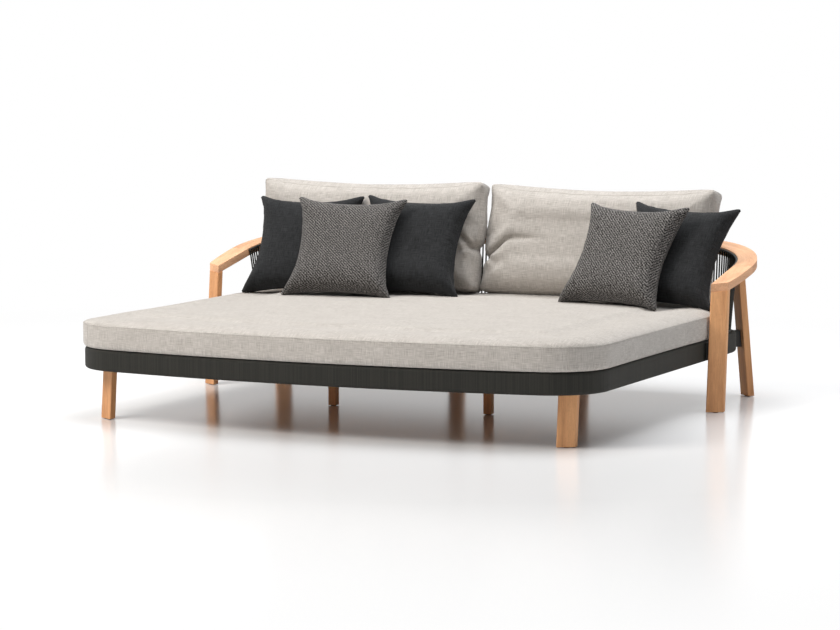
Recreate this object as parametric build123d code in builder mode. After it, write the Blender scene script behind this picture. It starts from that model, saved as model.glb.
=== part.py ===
from build123d import *
import math
import os

# Outdoor daybed. A platform wrapped in cord stands on wooden legs that rake forward. A flat
# wooden rail rises round its sides and back, and cord strung below the rail makes the back.
# On the platform lie a mattress, two back cushions and five throw pillows.
# Millimetres. +Z is up, X runs across the front, Y runs from the front to the back.
# Places along Y are first measured from the arm posts and then moved, so that the origin is
# on the floor under the middle of the whole piece.

# Platform
deck_half_width = 1138
deck_front = 1439  # the middle of the bowed front, ahead of the arm posts
deck_back = 596  # the back face, behind the arm posts
front_bow_radius = 5600
front_corner_radius = 240
back_corner_radius = 250
deck_bottom = 208
deck_height = 88
rim_depth = 45
rim_rounding = 14
wrap_thickness = 5
tube_wall = 3
drain_hole_radius = 3

# What carries the mattress inside the platform
slat_thickness = 18
slat_width = 80
slat_pitch = 145
slat_count = 13
beam_height = 60
beam_width = 40
beam_wall = 3
middle_beam_ahead = 470
rear_beam_behind = 30
ledge_leg = 30
ledge_wall = 3

# Rail
rail_half_width = 1240
rail_width = 82
rail_corner_radius = 395
rail_back = 680
rail_top_at_post = 531
rail_rise_share = 0.2  # rise of the rail for each length towards the back
rail_thickness = 33

# Section of the arm posts and front legs: a broad front face that turns outwards
leg_face_across = 65
leg_face_setback = 38
leg_side_depth = 37
leg_side_inset = 4
leg_outer_rounding = 10
leg_edge_rounding = 4
leg_rake_share = 0.1  # how far a foot stands out for each height of the leg

post_inner_x = 1156
post_top_ahead = 6  # the inner front corner at the rail's top
front_leg_inner_x = 976
front_leg_top_inset = 190  # behind the middle of the platform's front
leg_plate_thickness = 8
leg_plate_size = 220

# Legs with an oblong section
rear_leg_across = 72
rear_leg_depth = 32
corner_leg_top_radius = 340  # from the middle of the rail's corner
corner_leg_splay = 64
corner_leg_turn = 45  # degrees
back_leg_x = 302
support_leg_x = 356
support_leg_across = 34
support_leg_depth = 38

# Brackets, bolts, dowels and glides
bracket_height = 72
bracket_width = 24
bracket_reach = 16  # how far its line runs into the leg before the leg is cut away
bolt_radius = 4
bolt_head_radius = 7
bolt_head_height = 6
bolt_into_leg = 18
bolt_spacing = 38
bolt_clearance = 0.2
bolt_head_gap = 0.2  # keeps a flat head off the tube's rounded corner
dowel_radius = 5
dowel_half_length = 20
dowel_spacing = 34
dowel_clearance = 0.1
glide_radius = 12
glide_height = 3
glide_pin_radius = 2.5
glide_pin_length = 15

# Strung back
cord_radius = 3.5
cord_pitch = 16
cord_bar = 8
cord_bar_drop = 4  # below the rail's top face
lower_bar_inset = 26  # inside the platform's outer face
cord_end_gap = 0.3
first_cord_share = 0.5  # of a pitch from the end of a bar

# Mattress
mattress_half_width = 1146
mattress_front = 1446
mattress_back = 500
mattress_front_radius = 250
mattress_back_radius = 400
mattress_height = 96
mattress_crown = 32
mattress_edge = 16
mattress_draw = 5
mattress_rise_shares = (0, 0.4, 0.8, 1)  # of the crown, from the seam up
mattress_inset_shares = (0, 1.5, 7, 18)  # of the edge, at each of those heights
soft_gap = 0.3
cushion_gap = 6  # between a back cushion and the rail, bars and cords behind it

# Back cushions: a boxed band between two crowned faces
cushion_width = 1050
cushion_height = 480
cushion_band = 104
cushion_crown = 36
cushion_corner = 16
cushion_shoulder_inset = 42
cushion_shoulder_share = 0.72  # of the crown, at the shoulder
cushion_crown_inset = 155
cushion_draw = 8
band_bulge_share = 0.25  # of the draw
flattest_draw_share = 0.2  # of the draw, in the middle of a face
cushion_lean = 13  # degrees
cushion_foot_behind = 330  # where its middle plane first stands, before it is pushed back
cushion_places = [("left_back_cushion", -587, 3), ("right_back_cushion", 477, -2)]  # middle x and yaw

# Throw pillows: two crowned faces that meet in a seam
pillow_width = 510
pillow_height = 496
pillow_half_thickness = 58
pillow_draw = 22
pillow_corner = 14
pillow_offset_shares = (0, 0.55, 0.9, 1)  # of the half thickness, from the seam out
pillow_inset_shares = (0, 1.6, 4, 7)  # of the draw
pillow_draw_shares = (1, 0.8, 0.4, flattest_draw_share)
pillow_lean = 30  # degrees
pillow_foot_behind = 40  # where a pillow that leans on a cushion first stands
pillow_step = 130  # how much further forward a pillow first stands that leans on others
pillow_places = [  # middle x, steps forward, yaw and roll in degrees
    ("left_dark_pillow", -835, 0, 2, 4),
    ("middle_dark_pillow", -309, 0, 4, 0),
    ("left_grey_pillow", -574, 1, 5, 0),
    ("right_dark_pillow", 899, 0, -4, -5.5),
    ("right_grey_pillow", 671, 1, -16, -1),
]
leans_on = {
    "left_dark_pillow": ["left_back_cushion"],
    "middle_dark_pillow": ["left_back_cushion"],
    "left_grey_pillow": ["left_dark_pillow", "middle_dark_pillow"],
    "right_dark_pillow": ["right_back_cushion"],
    "right_grey_pillow": ["right_dark_pillow", "right_back_cushion"],
}
settle_rounds = 6

overrun = 60  # how far a cutting block runs past what it cuts

# Worked-out heights and places
diagonal_share = math.sqrt(1 / 2)
deck_top = deck_bottom + deck_height
slat_bottom = deck_top - slat_thickness
beam_bottom = slat_bottom - beam_height
bolt_bore = bolt_radius + bolt_clearance
dowel_bore = dowel_radius + dowel_clearance
rail_drop = rail_thickness * math.hypot(1, rail_rise_share)
rail_inner_radius = rail_corner_radius - rail_width
rail_inner_x = rail_half_width - rail_width
corner_x = rail_half_width - rail_corner_radius
rail_rise = rail_back * rail_rise_share
back_leg_foot_behind = rail_back - rail_width / 2 + leg_rake_share * (rail_top_at_post + rail_rise)
rearmost = back_leg_foot_behind + rear_leg_depth / 2
post_y = (mattress_front - rearmost) / 2
corner_y = post_y + rail_back - rail_corner_radius
deck_length = deck_front + overrun + deck_back
deck_middle_y = post_y + deck_back - deck_length / 2
bow_middle_y = post_y - deck_front + front_bow_radius
front_arc_x = deck_half_width - front_corner_radius
back_arc_x = deck_half_width - back_corner_radius
front_arc_y = bow_middle_y - math.sqrt((front_bow_radius - front_corner_radius) ** 2 - front_arc_x**2)
back_arc_y = post_y + deck_back - back_corner_radius


def rail_top(y):
    """Height of the rail's top face at a place along Y."""
    return rail_top_at_post + rail_rise_share * (y - post_y + post_top_ahead)


def save(part, label):
    """Labels a finished piece and writes it."""
    part.label = label
    export_step(part, f"parts/{label}.step")
    print(label, len(part.solids()), round(part.volume))


def slab(drop, thickness):
    """A sloping slab whose upper face lies a drop below the rail's top face."""
    along = Vector(0, 1, rail_rise_share).normalized()
    normal = Vector(1, 0, 0).cross(along)
    start = Vector(0, post_y - post_top_ahead, rail_top_at_post) - normal * drop
    reach = 2 * (rail_half_width + overrun)
    with BuildPart() as made:
        with BuildSketch(Plane(origin=start, x_dir=(1, 0, 0), z_dir=normal)):
            Rectangle(reach, reach)
        extrude(amount=-thickness)
    return made.part


def rod(point, direction, radius, length, mode=Mode.ADD):
    """Adds or cuts a cylinder from a point along a direction, in the part being made."""
    from_end = (Align.CENTER, Align.CENTER, Align.MIN)
    with Locations(Plane(origin=point, z_dir=direction)):
        Cylinder(radius, length, align=from_end, mode=mode)


# Feet and legs. Each leg has a bolt line, a dowel place and a glide place, kept in lists.
glide_places = []
dowel_places = []
bolt_lines = []


def raked_leg(outline, foot, top, top_height, roundings):
    """A leg between an outline at the foot and the same outline at the top."""
    with BuildPart() as made:
        for place, height in ((foot, glide_height), (top, top_height)):
            with BuildSketch(Plane.XY.offset(height)):
                with BuildLine():
                    Polyline(*[(place[0] + x, place[1] + y) for x, y in outline], close=True)
                make_face()
        loft(ruled=True)
        for (x, y), radius in zip(outline, roundings):
            middle = Vector(
                (foot[0] + top[0]) / 2 + x, (foot[1] + top[1]) / 2 + y, (glide_height + top_height) / 2
            )
            long_edges = made.edges().filter_by(lambda e: e.length > top_height / 2)
            fillet(long_edges.sort_by(lambda e: (e.center() - middle).length)[0], radius=radius)
    return made.part


def fan_outline(side):
    """Section of the arm posts and front legs, from its inner front corner."""
    points = [
        (0, 0),
        (leg_face_across, leg_face_setback),
        (leg_face_across - leg_side_inset, leg_face_setback + leg_side_depth),
        (-leg_side_inset, leg_side_depth),
    ]
    return [(side * x, y) for x, y in points]


fan_roundings = [leg_edge_rounding, leg_outer_rounding, leg_edge_rounding, leg_edge_rounding]
even_roundings = [leg_edge_rounding] * 4
fan_middle = ((leg_face_across - leg_side_inset) / 2, (leg_face_setback + leg_side_depth) / 2)


def oblong_outline(across, depth, turn):
    """A rectangle about its middle, turned by an angle in degrees."""
    c, s = math.cos(math.radians(turn)), math.sin(math.radians(turn))
    corners = [(-1, -1), (1, -1), (1, 1), (-1, 1)]
    halves = [(a * across / 2, b * depth / 2) for a, b in corners]
    return [(x * c - y * s, x * s + y * c) for x, y in halves]


def along_leg(foot, top, top_height, height):
    """The place of a leg's reference point at a height."""
    share = (height - glide_height) / (top_height - glide_height)
    return (foot[0] + (top[0] - foot[0]) * share, foot[1] + (top[1] - foot[1]) * share)


def finished_leg(body, foot_middle, under, dowels, bolts):
    """Cuts a leg at its top and bores it for its glide, dowels and bolts."""
    glide_places.append(foot_middle)
    dowel_places.extend(dowels)
    with BuildPart() as made:
        add(body)
        if under is not None:
            add(under, mode=Mode.SUBTRACT)
        pin_bore = glide_pin_radius + dowel_clearance
        rod((*foot_middle, 0), (0, 0, 1), pin_bore, glide_height + glide_pin_length, Mode.SUBTRACT)
        for point, direction in dowels:
            start = Vector(*point) - Vector(*direction) * dowel_half_length
            rod(start, direction, dowel_bore, 2 * dowel_half_length, Mode.SUBTRACT)
        for start, direction, length in bolts:
            rod(start, direction, bolt_bore, length, Mode.SUBTRACT)
    return made.part


def bolt_pair(start, direction, length):
    """Two level bolts one above the other on a bracket's line."""
    middle = deck_bottom + deck_height / 2
    heights = (middle - bolt_spacing / 2, middle + bolt_spacing / 2)
    pair = [((start[0], start[1], z), direction, length) for z in heights]
    bolt_lines.extend(pair)
    return pair


def bracket_body(start, direction, length):
    """A flat steel block standing on edge between the platform and a leg."""
    turn = math.degrees(math.atan2(direction[1], direction[0]))
    with BuildPart() as made:
        middle = Vector(start[0], start[1], 0) + Vector(*direction) * (length / 2)
        base = Plane(origin=(middle.X, middle.Y, deck_bottom + (deck_height - bracket_height) / 2))
        with BuildSketch(base):
            Rectangle(length, bracket_width, rotation=turn)
        extrude(amount=bracket_height)
    return made.part


os.makedirs("parts", exist_ok=True)


def deck_outline(inset):
    """The platform in plan, with a bowed front and rounded corners."""
    with BuildSketch() as made:
        with Locations((0, deck_middle_y)):
            Rectangle(2 * (deck_half_width - inset), deck_length - 2 * inset)
        with Locations((0, bow_middle_y)):
            Circle(front_bow_radius - inset, mode=Mode.INTERSECT)
        fillet(made.vertices().group_by(Axis.Y)[0], radius=front_corner_radius - inset)
        fillet(made.vertices().group_by(Axis.Y)[-1], radius=back_corner_radius - inset)
    return made.sketch


# Platform rim as one ring, cut into runs and corners below
deck_shape = deck_outline(0)
inner_shape = deck_outline(rim_depth)
with BuildPart() as deck_block:
    with BuildSketch(Plane.XY.offset(deck_bottom)):
        add(deck_shape)
    extrude(amount=deck_height)
    level_edges = deck_block.edges().group_by(Axis.Z)
    fillet(level_edges[0] + level_edges[-1], radius=rim_rounding)


def rim_band(outer_inset, depth, bottom, height):
    """An upright band that follows the platform's edge."""
    outer = deck_outline(outer_inset)
    inner = deck_outline(outer_inset + depth)
    with BuildPart() as made:
        with BuildSketch(Plane.XY.offset(bottom)):
            add(outer)
            add(inner, mode=Mode.SUBTRACT)
        extrude(amount=height)
    return made.part


tube_depth = rim_depth - 2 * wrap_thickness
tube_height = deck_height - 2 * wrap_thickness
tube_hollow = rim_band(
    wrap_thickness + tube_wall,
    tube_depth - 2 * tube_wall,
    deck_bottom + wrap_thickness + tube_wall,
    tube_height - 2 * tube_wall,
)
tube_solid = rim_band(wrap_thickness, tube_depth, deck_bottom + wrap_thickness, tube_height)

# Legs and posts
rail_underside = slab(rail_thickness, 4 * rail_top_at_post)
above_rail_underside = slab(-rail_top_at_post, rail_top_at_post + rail_thickness)
tube_inside = wrap_thickness + tube_wall
leg_parts = {}
bracket_parts = {}


def outward_from_deck(place, reach_inside):
    """Start, level direction and length of a bracket's line from the platform to a leg."""
    x = min(max(place[0], -back_arc_x), back_arc_x)
    y = min(place[1], back_arc_y)
    run = Vector(place[0] - x, place[1] - y, 0)
    direction = run.normalized()
    start_radius = back_corner_radius - tube_inside - bolt_head_gap
    start = Vector(x, y, 0) + direction * start_radius
    length = run.length - start_radius + reach_inside
    return (start.X, start.Y), (direction.X, direction.Y, 0), length


def add_braced_leg(name, body, place, foot_middle, dowels):
    """Keeps a leg that a bracket ties to the platform, and makes that bracket."""
    start, direction, length = outward_from_deck(place, bolt_into_leg)
    bolts = bolt_pair(start, direction, length)
    leg = finished_leg(body, foot_middle, above_rail_underside, dowels, bolts)
    leg_parts[name] = leg
    block_length = outward_from_deck(place, bracket_reach)[2]
    block = bracket_body(start, direction, block_length)
    with BuildPart() as bracket:
        add(block)
        add(deck_block.part, mode=Mode.SUBTRACT)
        add(body, mode=Mode.SUBTRACT)
        for point, way, reach in bolts:
            rod(point, way, bolt_bore, reach, Mode.SUBTRACT)
    nearest = bracket.solids().sort_by(lambda s: (s.center() - Vector(*start, s.center().Z)).length)[0]
    bracket_parts[name.replace("leg", "bracket").replace("post", "bracket")] = nearest


def top_dowels(middle, direction):
    """Two upright dowels between a leg's top and the rail, one each side of its middle."""
    found = []
    for sign in (-1, 1):
        x = middle[0] + sign * direction[0] * dowel_spacing / 2
        y = middle[1] + sign * direction[1] * dowel_spacing / 2
        found.append(((x, y, rail_top(y) - rail_drop), (0, 0, 1)))
    return found


tall = rail_top_at_post + rail_rise
bracket_level = deck_bottom + deck_height / 2
for side, word in ((-1, "left"), (1, "right")):
    # Arm post
    post_foot = (side * post_inner_x, post_y - post_top_ahead - leg_rake_share * rail_top_at_post)
    post_top = (post_foot[0], post_foot[1] + leg_rake_share * (tall - glide_height))
    post = raked_leg(fan_outline(side), post_foot, post_top, tall, fan_roundings)
    at_deck = along_leg(post_foot, post_top, tall, bracket_level)
    at_rail = along_leg(post_foot, post_top, tall, rail_top_at_post)
    dowel_middle = (at_rail[0] + side * fan_middle[0], at_rail[1] + fan_middle[1])
    across = math.hypot(leg_face_across, leg_face_setback)
    add_braced_leg(
        f"{word}_arm_post",
        post,
        (at_deck[0] + side * fan_middle[0], at_deck[1] + fan_middle[1]),
        (post_foot[0] + side * fan_middle[0], post_foot[1] + fan_middle[1]),
        top_dowels(dowel_middle, (side * leg_face_across / across, leg_face_setback / across)),
    )
    # Rear corner leg, with its broad face along the rail's bend
    top_out = corner_leg_top_radius * diagonal_share
    foot_out = (corner_leg_top_radius + corner_leg_splay) * diagonal_share
    corner_top = (side * (corner_x + top_out), corner_y + top_out)
    corner_foot = (side * (corner_x + foot_out), corner_y + foot_out)
    corner_outline = oblong_outline(rear_leg_across, rear_leg_depth, -side * corner_leg_turn)
    corner_leg = raked_leg(corner_outline, corner_foot, corner_top, tall, even_roundings)
    at_rail = along_leg(corner_foot, corner_top, tall, rail_top(corner_top[1]))
    add_braced_leg(
        f"{word}_rear_corner_leg",
        corner_leg,
        along_leg(corner_foot, corner_top, tall, bracket_level),
        corner_foot,
        top_dowels(at_rail, (side * diagonal_share, -diagonal_share)),
    )
    # Back leg
    back_foot = (side * back_leg_x, post_y + back_leg_foot_behind)
    back_top = (back_foot[0], back_foot[1] - leg_rake_share * (tall - glide_height))
    back_outline = oblong_outline(rear_leg_across, rear_leg_depth, 0)
    back_leg = raked_leg(back_outline, back_foot, back_top, tall, even_roundings)
    add_braced_leg(
        f"{word}_back_leg",
        back_leg,
        along_leg(back_foot, back_top, tall, bracket_level),
        back_foot,
        top_dowels((back_top[0], post_y + rail_back - rail_width / 2), (1, 0)),
    )
    # Front leg, whose top stands under the platform's rim and a plate in its corner
    front_top = (side * front_leg_inner_x, post_y - deck_front + front_leg_top_inset)
    front_foot = (front_top[0], front_top[1] - leg_rake_share * (deck_bottom - glide_height))
    front_leg = raked_leg(fan_outline(side), front_foot, front_top, deck_bottom, fan_roundings)
    foot_middle = (front_foot[0] + side * fan_middle[0], front_foot[1] + fan_middle[1])
    leg_parts[f"{word}_front_leg"] = finished_leg(front_leg, foot_middle, None, [], [])
    # Support leg under the middle beam
    support_place = (side * support_leg_x, post_y - middle_beam_ahead)
    support_outline = oblong_outline(support_leg_across, support_leg_depth, 0)
    support = raked_leg(support_outline, support_place, support_place, beam_bottom, even_roundings)
    leg_parts[f"{word}_support_leg"] = finished_leg(support, support_place, None, [], [])

for name, made in leg_parts.items():
    save(made, name)
for name, made in bracket_parts.items():
    save(made, name)

# Welded tube inside the rim, with its bolt holes and drain holes
with BuildPart() as seat_frame_tube:
    add(tube_solid)
    add(tube_hollow, mode=Mode.SUBTRACT)
    for point, way, reach in bolt_lines:
        rod(point, way, bolt_bore, reach, Mode.SUBTRACT)
    for side_x in (-1, 1):
        for end in (front_arc_y, back_arc_y):
            drain = (side_x * (deck_half_width - rim_depth / 2), end, deck_bottom)
            rod(drain, (0, 0, 1), drain_hole_radius, deck_height / 2, Mode.SUBTRACT)
save(seat_frame_tube.part, "seat_frame_tube")

# Cord wrap round the tube, in four straight runs and four corners
with BuildPart() as rim_wrap:
    add(deck_block.part)
    with BuildSketch(Plane.XY.offset(deck_bottom)):
        add(inner_shape)
    extrude(amount=deck_height, mode=Mode.SUBTRACT)
    add(tube_solid, mode=Mode.SUBTRACT)
    for point, way, reach in bolt_lines:
        rod(point, way, bolt_bore, reach, Mode.SUBTRACT)

side_run = back_arc_y - front_arc_y
side_middle = (back_arc_y + front_arc_y) / 2
band = back_corner_radius + 2 * overrun
wrap_boxes = {
    "front_wrap": (0, front_arc_y - band / 2, 2 * front_arc_x, band),
    "back_wrap": (0, back_arc_y + band / 2, 2 * back_arc_x, band),
    "left_wrap": (-back_arc_x - band / 2, side_middle, band, side_run),
    "right_wrap": (back_arc_x + band / 2, side_middle, band, side_run),
}
for side, word in ((-1, "left"), (1, "right")):
    front_place = (side * (front_arc_x + band / 2), front_arc_y - band / 2)
    back_place = (side * (back_arc_x + band / 2), back_arc_y + band / 2)
    wrap_boxes[f"front_{word}_corner_wrap"] = (*front_place, band, band)
    wrap_boxes[f"back_{word}_corner_wrap"] = (*back_place, band, band)
for name, (x, y, size_x, size_y) in wrap_boxes.items():
    with BuildPart() as wrap_run:
        with BuildSketch(Plane.XY.offset(deck_bottom - overrun)):
            with Locations((x, y)):
                Rectangle(size_x, size_y)
        extrude(amount=deck_height + 2 * overrun)
        add(rim_wrap.part, mode=Mode.INTERSECT)
    save(wrap_run.part, name)

# Plates on the front legs, inside the rim's corners
for side, word in ((-1, "left"), (1, "right")):
    with BuildPart() as leg_plate:
        with BuildSketch(Plane.XY.offset(deck_bottom)):
            add(inner_shape)
            with Locations((side * (deck_half_width - rim_depth), front_arc_y - front_corner_radius)):
                Rectangle(2 * leg_plate_size, 2 * leg_plate_size, mode=Mode.INTERSECT)
        extrude(amount=leg_plate_thickness)
    save(leg_plate.part, f"{word}_front_leg_plate")

# Beams across the platform, ledges along its front and back, and the slats
beam_length = 2 * (deck_half_width - rim_depth)
for name, y in (("middle_beam", post_y - middle_beam_ahead), ("rear_beam", post_y + rear_beam_behind)):
    with BuildPart() as beam:
        end = (-beam_length / 2, y, beam_bottom + beam_height / 2)
        with BuildSketch(Plane(origin=end, x_dir=(0, 1, 0), z_dir=(1, 0, 0))):
            Rectangle(beam_width, beam_height)
            Rectangle(beam_width - 2 * beam_wall, beam_height - 2 * beam_wall, mode=Mode.SUBTRACT)
        extrude(amount=beam_length)
    save(beam.part, name)

ledge_flat = rim_band(rim_depth, ledge_leg, slat_bottom - ledge_wall, ledge_wall)
ledge_upright = rim_band(rim_depth, ledge_wall, slat_bottom - ledge_leg, ledge_leg)
for name, run in (("front_ledge", "front_wrap"), ("back_ledge", "back_wrap")):
    x, y, size_x, size_y = wrap_boxes[run]
    with BuildPart() as ledge:
        add(ledge_flat)
        add(ledge_upright)
        with BuildSketch(Plane.XY.offset(deck_bottom)):
            with Locations((x, y)):
                Rectangle(size_x, size_y)
        extrude(amount=deck_height, mode=Mode.INTERSECT)
    save(ledge.part, name)

with BuildPart() as deck_slats:
    with BuildSketch(Plane.XY.offset(slat_bottom)):
        with Locations((0, deck_middle_y)):
            with GridLocations(slat_pitch, 0, slat_count, 1):
                Rectangle(slat_width, deck_length)
        add(inner_shape, mode=Mode.INTERSECT)
    extrude(amount=slat_thickness)
    slat_edges = deck_slats.edges().filter_by(Axis.Y).group_by(Axis.Z)[-1]
    fillet(slat_edges, radius=ledge_wall)
save(deck_slats.part, "deck_slats")

# Rail: five lengths cut from one bent strip that lies in a sloping plane
rail_slab = slab(0, rail_thickness)
rail_parts = []
post_end = (post_inner_x, post_y - post_top_ahead)
post_outer_end = (post_inner_x + leg_face_across, post_y - post_top_ahead + leg_face_setback)


def joint_dowels(place, direction):
    """Two dowels side by side across a joint between two lengths of the rail."""
    x, y = place
    across = Vector(-direction[1], direction[0], 0)
    middle = Vector(x, y, rail_top(y) - rail_drop / 2)
    slope = Vector(direction[0], direction[1], rail_rise_share * direction[1]).normalized()
    return [(tuple(middle + across * (sign * dowel_spacing / 2)), tuple(slope)) for sign in (-1, 1)]


rail_joints = []
for side in (-1, 1):
    rail_joints += joint_dowels((side * (rail_half_width - rail_width / 2), corner_y), (0, 1))
    rail_joints += joint_dowels((side * corner_x, post_y + rail_back - rail_width / 2), (1, 0))
dowel_places.extend(rail_joints)


def rail_length(upright):
    """Cuts an upright block down to the rail's slope and bores it for its dowels."""
    with BuildPart() as made:
        add(upright)
        add(rail_slab, mode=Mode.INTERSECT)
        for point, direction in dowel_places:
            start = Vector(*point) - Vector(*direction) * dowel_half_length
            rod(start, direction, dowel_bore, 2 * dowel_half_length, Mode.SUBTRACT)
    return made.part


for side, word in ((-1, "left"), (1, "right")):
    with BuildPart() as arm_block:
        with BuildSketch(Plane.XY.offset(deck_top)) as arm_outline:
            with BuildLine():
                inner_start = (side * post_end[0], post_end[1])
                outer_start = (side * post_outer_end[0], post_outer_end[1])
                Line(inner_start, (side * rail_inner_x, corner_y))
                Line((side * rail_inner_x, corner_y), (side * rail_half_width, corner_y))
                TangentArc((side * rail_half_width, corner_y), outer_start, tangent=(0, -1))
                Line(outer_start, inner_start)
            make_face()
            outer_corner = arm_outline.vertices().sort_by(Axis.Y)[1]
            fillet(outer_corner, radius=leg_outer_rounding)
        extrude(amount=tall)
    rail_parts.append(rail_length(arm_block.part))
    save(rail_parts[-1], f"{word}_arm_rail")

    with BuildPart() as corner_block:
        with BuildSketch(Plane.XY.offset(deck_top)):
            with Locations((side * corner_x, corner_y)):
                Circle(rail_corner_radius)
                Circle(rail_inner_radius, mode=Mode.SUBTRACT)
            with Locations((side * (corner_x + rail_corner_radius / 2), corner_y + rail_corner_radius / 2)):
                Rectangle(rail_corner_radius, rail_corner_radius, mode=Mode.INTERSECT)
        extrude(amount=tall)
    rail_parts.append(rail_length(corner_block.part))
    save(rail_parts[-1], f"{word}_corner_rail")

with BuildPart() as back_block:
    with BuildSketch(Plane.XY.offset(deck_top)):
        with Locations((0, post_y + rail_back - rail_width / 2)):
            Rectangle(2 * corner_x, rail_width)
    extrude(amount=tall)
rail_parts.append(rail_length(back_block.part))
save(rail_parts[-1], "back_rail")

# Dowels in all the rail's joints
with BuildPart() as rail_dowels:
    for point, direction in dowel_places:
        start = Vector(*point) - Vector(*direction) * dowel_half_length
        rod(start, direction, dowel_radius, 2 * dowel_half_length)
save(rail_dowels.part, "rail_dowels")

# Bolts that hold the brackets, with their heads inside the tube
with BuildPart() as bracket_bolts:
    for point, direction, length in bolt_lines:
        rod(point, direction, bolt_radius, length)
        away = tuple(-v for v in direction)
        rod(point, away, bolt_head_radius, bolt_head_height)
save(bracket_bolts.part, "bracket_bolts")

# Glides under the feet
with BuildPart() as foot_glides:
    for place in glide_places:
        rod((*place, 0), (0, 0, 1), glide_radius, glide_height)
        rod((*place, 0), (0, 0, 1), glide_pin_radius, glide_height + glide_pin_length)
save(foot_glides.part, "foot_glides")

# Bars that hold the strung cord, under the rail's inner edge and on the platform
lower_x = deck_half_width - lower_bar_inset
lower_y = post_y + deck_back - lower_bar_inset
lower_radius = back_corner_radius - lower_bar_inset
upper_radius = rail_inner_radius - cord_bar / 2
upper_slab = slab(cord_bar_drop, cord_bar)
bar_parts = []


def bar_section(path_radius, centre, side):
    """A quarter bend of bar in plan."""
    with Locations((side * centre[0], centre[1])):
        Circle(path_radius + cord_bar / 2)
        Circle(path_radius - cord_bar / 2, mode=Mode.SUBTRACT)
    reach = path_radius + cord_bar
    with Locations((side * (centre[0] + reach / 2), centre[1] + reach / 2)):
        Rectangle(reach, reach, mode=Mode.INTERSECT)


for side, word in ((-1, "left"), (1, "right")):
    with BuildPart() as upper_bar:
        with BuildSketch(Plane.XY.offset(deck_top)):
            bar_section(upper_radius, (corner_x, corner_y), side)
        extrude(amount=tall)
        add(upper_slab, mode=Mode.INTERSECT)
    bar_parts.append(upper_bar.part)
    save(upper_bar.part, f"{word}_upper_cord_bar")
    with BuildPart() as lower_bar:
        with BuildSketch(Plane.XY.offset(deck_top)):
            bar_section(lower_radius, (back_arc_x, back_arc_y), side)
            with Locations((side * lower_x, (corner_y + back_arc_y) / 2)):
                Rectangle(cord_bar, back_arc_y - corner_y)
            with Locations((side * (corner_x + back_arc_x) / 2, lower_y)):
                Rectangle(back_arc_x - corner_x, cord_bar)
        extrude(amount=cord_bar)
    save(lower_bar.part, f"{word}_lower_cord_bar")

with BuildPart() as back_upper_bar:
    with BuildSketch(Plane.XY.offset(deck_top)):
        with Locations((0, corner_y + upper_radius)):
            Rectangle(2 * corner_x, cord_bar)
    extrude(amount=tall)
    add(upper_slab, mode=Mode.INTERSECT)
bar_parts.append(back_upper_bar.part)
save(back_upper_bar.part, "back_upper_cord_bar")
with BuildPart() as back_lower_bar:
    with BuildSketch(Plane.XY.offset(deck_top)):
        with Locations((0, lower_y)):
            Rectangle(2 * corner_x, cord_bar)
    extrude(amount=cord_bar)
save(back_lower_bar.part, "back_lower_cord_bar")


def strand_top(x, y):
    """Where a cord ends under the upper bar."""
    return Vector(x, y, rail_top(y) - (cord_bar_drop + cord_bar) * math.hypot(1, rail_rise_share))


def end_gap(way, normal):
    """How far a cord stops short along itself so that its flat end clears a bar's face."""
    facing = abs(way.dot(normal))
    return (cord_end_gap + cord_radius * math.sqrt(1 - min(facing, 1) ** 2)) / facing


def strand_ends(bottom, top):
    """Start, direction and length of a taut cord between the bars."""
    way = (top - bottom).normalized()
    low_gap = end_gap(way, Vector(0, 0, 1))
    high_gap = end_gap(way, Vector(0, -rail_rise_share, 1).normalized())
    return bottom + way * low_gap, way, (top - bottom).length - low_gap - high_gap


def lower_path(length):
    """Place on the lower bar's corner, measured from its front end."""
    straight = back_arc_y - corner_y
    bend = lower_radius * math.pi / 2
    if length < straight:
        return lower_x, corner_y + length
    if length < straight + bend:
        angle = (length - straight) / lower_radius
        return back_arc_x + lower_radius * math.cos(angle), back_arc_y + lower_radius * math.sin(angle)
    return back_arc_x - (length - straight - bend), lower_y


cord_parts = []
corner_run = upper_radius * math.pi / 2
corner_cords = round(corner_run / cord_pitch)
lower_run = (back_arc_y - corner_y) + lower_radius * math.pi / 2 + (back_arc_x - corner_x)
for side, word in ((-1, "left"), (1, "right")):
    with BuildPart() as corner_cord:
        for number in range(corner_cords):
            share = (number + first_cord_share) / corner_cords
            angle = share * math.pi / 2
            upper_x = corner_x + upper_radius * math.cos(angle)
            upper_y = corner_y + upper_radius * math.sin(angle)
            foot_x, foot_y = lower_path(share * lower_run)
            low_end = Vector(side * foot_x, foot_y, deck_top + cord_bar)
            start, way, length = strand_ends(low_end, strand_top(side * upper_x, upper_y))
            rod(start, way, cord_radius, length)
    cord_parts.append(corner_cord.part)
    save(corner_cord.part, f"{word}_corner_cords")

back_cord_count = 2 * round(corner_x / cord_pitch) - 1
back_bottom = Vector(0, lower_y, deck_top + cord_bar)
back_start, back_way, back_cord_length = strand_ends(back_bottom, strand_top(0, corner_y + upper_radius))
with BuildPart() as back_cords:
    with BuildSketch(Plane(origin=back_start, x_dir=(1, 0, 0), z_dir=back_way)):
        with GridLocations(cord_pitch, 0, back_cord_count, 1):
            Circle(cord_radius)
    extrude(amount=back_cord_length)
save(back_cords.part, "back_cords")


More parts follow.
